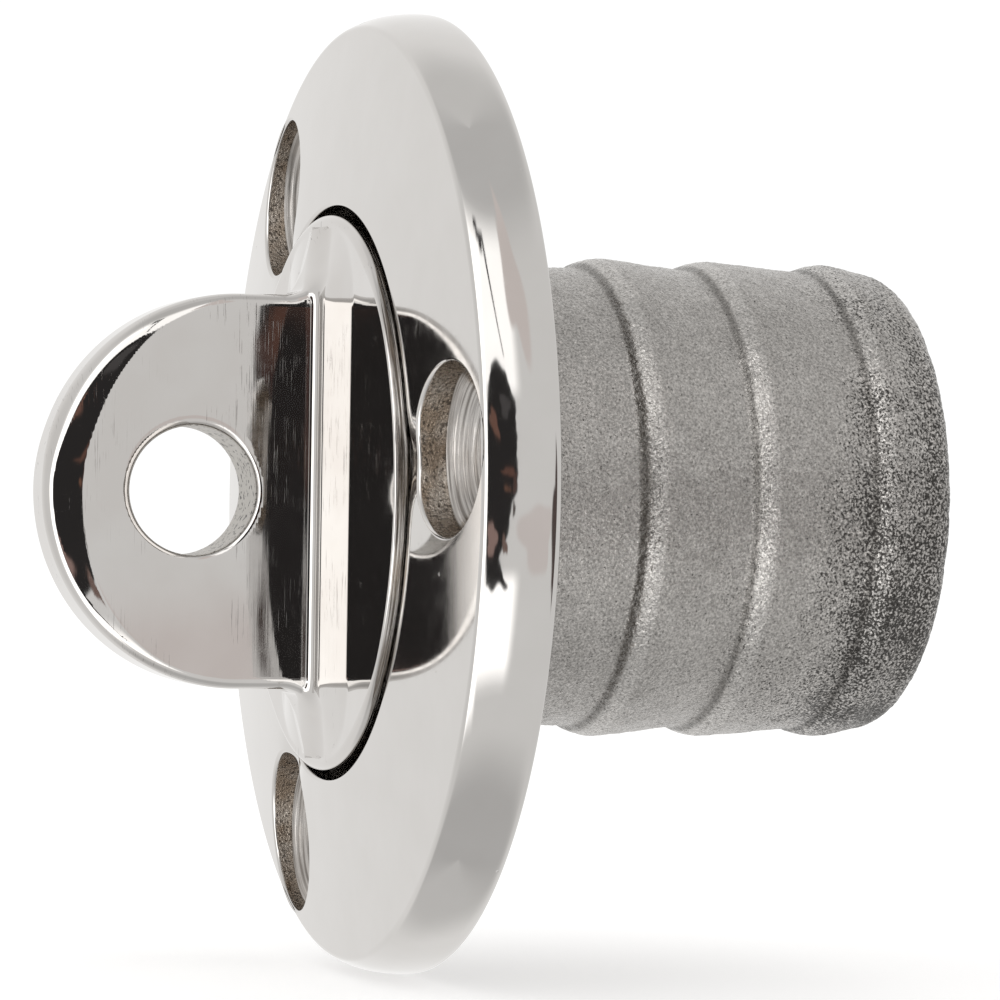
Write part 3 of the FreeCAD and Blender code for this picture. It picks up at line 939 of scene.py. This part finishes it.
def cast_steel(name, mottled):
    """Blasted cast steel: a fine leathery grain, with dark pores that crowd towards the free end."""
    make = Nodes(name)
    across, along, up = make.axes()
    outside = make.span(make.distance(across, up), 0.0170, 0.0176)
    grain = make.noise(3900.0)
    fine = make.noise(9500.0, 1.0)
    coarse = make.noise(1500.0, 1.0)
    pores = make.noise(4700.0, 2.0, 0.55)
    patches = make.noise(150.0, 3.0, 0.6)
    tone = make.span(make.noise(420.0, 3.0, 0.6), 0.3, 0.7)
    colour = make.blend(tone, (0.35, 0.337, 0.322, 1.0), (0.405, 0.391, 0.375, 1.0))
    roughness = make.span(make.noise(3300.0), 0.35, 0.65, 0.32, 0.19)
    reach = make.span(along, 0.022, 0.037, -0.07, 0.19 if mottled else -0.06)
    reach = make.plus(reach, make.span(up, 0.012, -0.004, -0.10, 0.03))
    reach = make.plus(reach, make.span(patches, 0.36, 0.64, -0.05, 0.05))
    for crest in BARB_OUTS if mottled else ():
        behind = make.minus(along, -(crest + 0.84 * BARB_RISE) * MM)
        beside = make.span(make.math("ABSOLUTE", behind), 0.0004, 0.0024, 0.035, 0.0)
        worked = make.span(along, 0.016, 0.030)
        reach = make.plus(reach, make.times(beside, worked))
        # Painted shade: a dark colour band in the crease at each barb's foot.
        painted_crease_shade = make.span(make.math("ABSOLUTE", behind), 0.00012, 0.00042, 0.62, 0.0)
        # Painted highlight: a brighter, slightly smoother colour band on the rise to each barb's crest.
        painted_crest_highlight = make.span(make.math("ABSOLUTE", make.minus(behind, 0.0010)), 0.0004, 0.0009, 0.42, 0.0)
        painted_crest_highlight = make.times(painted_crest_highlight, outside)
        painted_crease_shade = make.times(painted_crease_shade, outside)
        colour = make.blend(painted_crest_highlight, colour, (0.60, 0.585, 0.565, 1.0))
        colour = make.blend(painted_crease_shade, colour, (0.11, 0.104, 0.097, 1.0))
        roughness = make.minus(roughness, make.times(painted_crest_highlight, 0.06))
    level = make.plus(make.math("MAXIMUM", reach, -0.03), 0.33)
    dark = make.span(make.minus(pores, level), -0.05, 0.05, 1.0, 0.0)
    spread = make.span(reach, -0.02, 0.14, 1.9, 3.6)
    # Colour speckled brighter and darker at the grain's size: grain tone and painted glints, with more
    # contrast where the pores crowd.
    tone_and_glint_specks = make.minus(make.noise(5200.0), 0.5)
    tone_and_glint_specks = make.plus(make.times(tone_and_glint_specks, spread), 1.0)
    lit = make.node("VectorMath", {0: colour, "Scale": tone_and_glint_specks}, operation="SCALE")
    colour = make.blend(make.times(dark, 0.92), lit.outputs[0], (0.032, 0.03, 0.028, 1.0))
    roughness = make.plus(roughness, make.times(dark, 0.15))
    height = make.plus(grain, make.times(fine, 0.3))
    height = make.plus(height, make.times(coarse, 0.6))
    height = make.minus(height, make.times(dark, 0.25))
    normal = make.bump(height, 0.000085)
    return make.finish(colour, roughness, normal)


def pocket_steel():
    """The as-cast wall of a screw pocket: sparkling, rough and a little brown."""
    make = Nodes("pocket_steel")
    grain = make.noise(4800.0, 3.0, 0.6)
    stain = make.span(make.noise(420.0, 3.0), 0.36, 0.64)
    colour = make.blend(stain, (0.34, 0.275, 0.215, 1.0), (0.52, 0.475, 0.425, 1.0))
    dark = make.span(make.noise(3600.0, 3.0), 0.37, 0.45, 1.0, 0.0)
    colour = make.blend(make.times(dark, 0.75), colour, (0.06, 0.05, 0.042, 1.0))
    roughness = make.span(make.noise(2600.0), 0.3, 0.7, 0.16, 0.34)
    normal = make.bump(grain, 0.00012)
    return make.finish(colour, roughness, normal)


def turned_steel(name, about_axis, shades):
    """Steel straight from the lathe: fine rings, with a soft shine along them."""
    make = Nodes(name)
    across, along, up = make.axes()
    rings = make.node("CombineXYZ", {"Y": make.times(along, RING_SCALE), "Z": make.times(up, RING_DRIFT)})
    if about_axis:
        make.fill(rings, {"X": make.times(make.distance(across, up), RING_SCALE)})
    lines = make.noise(1.0, 3.0, 0.6, vector=rings.outputs[0])
    broad = make.noise(0.35, 1.0, vector=rings.outputs[0])
    stain = make.span(make.noise(260.0, 3.0), 0.35, 0.65, 0.0, 0.55)
    normal = make.bump(broad, 0.00008)
    normal = make.bump(lines, 0.00004, normal)
    tone = make.span(make.noise(0.8, 3.0, 0.6, vector=rings.outputs[0]), 0.40, 0.60)
    colour = make.blend(tone, shades[0], shades[1])
    colour = make.blend(stain, colour, shades[2])
    roughness = make.span(make.noise(1500.0), 0.3, 0.7, 0.14, 0.24)
    return make.finish(colour, roughness, normal)


def ring_rubber():
    make = Nodes("ring_rubber")
    tone = make.span(make.noise(1800.0, 4.0), 0.35, 0.65)
    colour = make.blend(tone, (0.012, 0.012, 0.013, 1.0), (0.022, 0.022, 0.024, 1.0))
    roughness = make.span(make.noise(900.0, 3.0), 0.3, 0.7, 0.48, 0.66)
    normal = make.bump(make.noise(5200.0, 3.0), 0.00002)
    return make.finish(colour, roughness, normal, 0.0)


# ---------------------------------------------------------------- stage, light and camera

STUDIO_R = 0.45
# Dim warm shapes round the camera: centre and half size in degrees, lean, and colour
WARM_SHAPES = [
    ((9.0, 4.8), (6.5, 0.9), 2.0, (0.15, 0.08, 0.062)),
    ((4.0, 2.2), (1.9, 2.2), 0.0, (0.10, 0.062, 0.055)),
    ((11.0, 1.2), (3.4, 0.5), 4.0, (0.19, 0.10, 0.07)),
    ((4.5, -3.2), (1.2, 1.6), 0.0, (0.07, 0.05, 0.045)),
    ((23.0, 15.0), (5.0, 2.2), 28.0, (0.20, 0.11, 0.085)),
    ((12.5, 19.0), (4.5, 2.6), 10.0, (0.085, 0.08, 0.08)),
    ((24.5, -9.5), (4.8, 3.6), 10.0, (0.34, 0.235, 0.21)),
    ((12.0, -11.0), (3.0, 1.6), 30.0, (0.22, 0.15, 0.13)),
    ((-4.5, 49.0), (7.5, 19.0), -6.0, (0.80, 0.735, 0.71)),
    ((-12.0, -9.0), (11.0, 7.5), 0.0, (0.80, 0.745, 0.725)),
    ((-36.0, -6.0), (9.0, 15.0), 0.0, (0.11, 0.085, 0.08)),
]


def staged(name, points, faces, material, hidden_from):
    """A piece of the stage, which some kinds of ray don't see."""
    mesh = bpy.data.meshes.new(name)
    mesh.from_pydata(points, [], faces)
    mesh.materials.append(material)
    piece = bpy.data.objects.new(name, mesh)
    bpy.context.scene.collection.objects.link(piece)
    for ray in hidden_from:
        setattr(piece, "visible_" + ray, False)
    return mesh


def plain_material(name, base, glow, held=""):
    """A matt surface that also glows, in white or in the colours held at its mesh's points."""
    make = Nodes(name)
    white = (1.0, 1.0, 1.0, 1.0)
    make.fill(make.shader, {
        "Base Color": (base, base, base, 1.0), "Roughness": 0.9, "Specular IOR Level": 0.0,
        "Emission Color": make.node("Attribute", attribute_name=held).outputs["Color"] if held else white,
        "Emission Strength": glow,
    })
    make.material.cycles.emission_sampling = "NONE"
    return make.material


def soft_step(value, edge, width):
    """0 below an edge and 1 above it, eased over a width."""
    return ease((value - edge) / width + 0.5)


def patch(a, e, centre, size, lean=0.0, wobble=0.18, blur=0.25):
    """1 inside a soft uneven shape in the studio and 0 outside it; everything in degrees."""
    cos, sin = math.cos(math.radians(lean)), math.sin(math.radians(lean))
    u = ((a - centre[0]) * cos + (e - centre[1]) * sin) / size[0]
    v = ((e - centre[1]) * cos - (a - centre[0]) * sin) / size[1]
    around = np.arctan2(v, u)
    reach = 1 + wobble * (np.sin(3 * around + centre[0]) + 0.6 * np.sin(5 * around + 2 * centre[1]))
    return 1 - soft_step(np.hypot(u, v) / reach, 1.0, blur)


def studio_glow(a, e):
    """What the polished steel sees in each direction: white tent, bright panels and a dark gap."""
    level = np.full(a.shape, 0.88)
    level -= 0.2 * soft_step(e, 60.0, 20.0) + 0.26 * (1 - soft_step(e, -60.0, 18.0))
    level += 0.12 * soft_step(np.abs(a), 120.0, 50.0)
    ahead = soft_step(a, 0.0, 7.0) * (1 - soft_step(a, 60.0, 30.0))
    level += ahead * 0.8 * soft_step(e, 22.0, 5.0) * (1 - soft_step(e, 60.0, 12.0))
    level += ahead * 1.1 * (1 - soft_step(e, -18.0, 5.0)) * soft_step(e, -40.0, 9.0)
    panel = soft_step(a, 33.4, 4.2) * (1 - soft_step(a, 60.0, 10.0))
    panel = panel * soft_step(e, -46.0, 14.0) * (1 - soft_step(e, 52.0, 14.0))
    level += panel * (2.55 - level)
    colour = np.stack([level * 1.0, level * 0.992, level * 0.98], axis=-1)
    left = np.interp(e, [-21, -18, -14, -8, -1.5, 0.5, 20, 28], [4, 12, 17, 9, 6.5, 1.5, 2.5, 13])
    right = np.interp(e, [-21, -12, -7, 12, 22, 29], [28, 30, 31.6, 31.6, 29, 24])
    wave = 0.35 * np.sin(e * 0.9) + 0.2 * np.sin(e * 2.3 + 1.0)
    gap = soft_step(a, left + wave, 0.7) * (1 - soft_step(a, right + 0.4 * wave, 0.7))
    gap = gap * soft_step(e, -20.0 + 0.8 * np.sin(a * 0.5), 0.8)
    gap = gap * (1 - soft_step(e, 28.0 + np.sin(a * 0.4), 1.0))
    cable = np.interp(e, [29, 37, 44, 51, 57], [11.0, 16.0, 20.0, 24.0, 27.0])
    cable_width = np.interp(e, [29, 40, 57], [0.35, 0.6, 1.3])
    cable = 1 - soft_step(np.abs(a - cable), cable_width, 0.5)
    gap = np.maximum(gap, cable * soft_step(e, 30.0, 1.0) * (1 - soft_step(e, 59.0, 1.0)))
    gap = np.maximum(gap, patch(a, e, (32.0, 57.0), (6.0, 2.2), 20.0))
    dark = np.array([0.033, 0.031, 0.031])
    colour = colour + gap[..., None] * (dark - colour)
    for centre, size, lean, tint in WARM_SHAPES:
        share = patch(a, e, centre, size, lean)
        colour = colour + share[..., None] * (np.array(tint) - colour)
    return colour


def make_studio_dome():
    """A dome round the fitting that only reflections see."""
    fine_a = np.arange(-30.0, 60.0, 0.4)
    fine_e = np.arange(-40.0, 52.0, 0.4)
    a = np.concatenate([np.arange(-180.0, -30.0, 3.0), fine_a, np.arange(60.0, 180.0, 3.0), [180.0]])
    e = np.concatenate([np.arange(-90.0, -40.0, 2.5), fine_e, np.arange(52.0, 90.0, 2.5), [90.0]])
    a, e = np.meshgrid(a, e)
    turn, rise = np.radians(a), np.radians(e)
    level = np.cos(rise)
    points = STUDIO_R * np.stack([level * np.cos(turn), -level * np.sin(turn), np.sin(rise)], axis=-1)
    rows, columns = a.shape
    index = np.arange(rows * columns).reshape(rows, columns)
    faces = np.stack([index[:-1, :-1], index[1:, :-1], index[1:, 1:], index[:-1, 1:]], axis=-1)
    points, faces = points.reshape(-1, 3).tolist(), faces.reshape(-1, 4).tolist()
    hidden_from = ("camera", "diffuse", "shadow", "transmission")
    mesh = staged("studio_dome", points, faces, plain_material("studio_glow", 0.0, 1.0, "glow"), hidden_from)
    glow = mesh.attributes.new("glow", "FLOAT_COLOR", "POINT")
    colour = np.concatenate([studio_glow(a, e), np.ones((rows, columns, 1))], axis=-1)
    glow.data.foreach_set("color", colour.astype(np.float32).ravel())


def make_backdrop():
    """White all round, for the camera only."""
    sides, far, low, high = 48, 3.0, -0.5, 2.5
    turn = np.arange(sides) * TAU / sides
    points = [(far * math.cos(way), far * math.sin(way), z) for z in (low, high) for way in turn]
    faces = [(i, (i + 1) % sides, sides + (i + 1) % sides, sides + i) for i in range(sides)]
    faces.append(tuple(range(sides, 2 * sides)))
    white = plain_material("backdrop_white", 0.0, 1.06)
    staged("backdrop", points, faces, white, ("diffuse", "glossy", "shadow"))


def make_floor():
    z = CAD_BOX[0].z - 0.0002
    size = 2.9
    corners = [(-size, -size, z), (size, -size, z), (size, size, z), (-size, size, z)]
    staged("floor", corners, [(0, 1, 2, 3)], plain_material("floor_white", 0.8, 0.42), ("glossy",))


def make_stage():
    make_floor()
    make_backdrop()
    make_studio_dome()
    world = bpy.data.worlds.new("studio")
    world.use_nodes = True
    background = world.node_tree.nodes["Background"]
    background.inputs["Color"].default_value = (1.0, 0.99, 0.98, 1.0)
    background.inputs["Strength"].default_value = 0.9
    bpy.context.scene.world = world


def make_camera():
    """A long lens, level, a little to the outward side of +X."""
    back = Vector((0.9532, -0.3025, -0.0046)).normalized()
    right = Vector((0.3025, 0.953, 0.0145))
    right = (right - back * right.dot(back)).normalized()
    up = back.cross(right)
    turn = Matrix((right, up, back)).transposed().to_4x4()
    data = bpy.data.cameras.new("camera")
    data.sensor_width = 36.0
    data.lens = 167.4
    data.clip_start = 0.01
    camera = bpy.data.objects.new("camera", data)
    camera.matrix_world = Matrix.Translation(Vector((360.4, -107.1, -2.1)) * MM) @ turn
    bpy.context.scene.collection.objects.link(camera)
    bpy.context.scene.camera = camera


def main():
    make_camera()
    polished = polished_steel()
    make_body([
        polished, cast_steel("cast_steel", True), pocket_steel(),
        turned_steel("turned_steel", True, TURNED_SHADES),
        turned_steel("countersink_steel", False, CONE_SHADES),
    ])
    make_plug([
        eye_steel(), cast_steel("core_steel", False), turned_steel("plug_turned_steel", True, TURNED_SHADES),
    ])
    make_ring([ring_rubber()])
    make_stage()
    bpy.context.scene.view_settings.view_transform = "Standard"
    bpy.context.view_layer.update()


main()
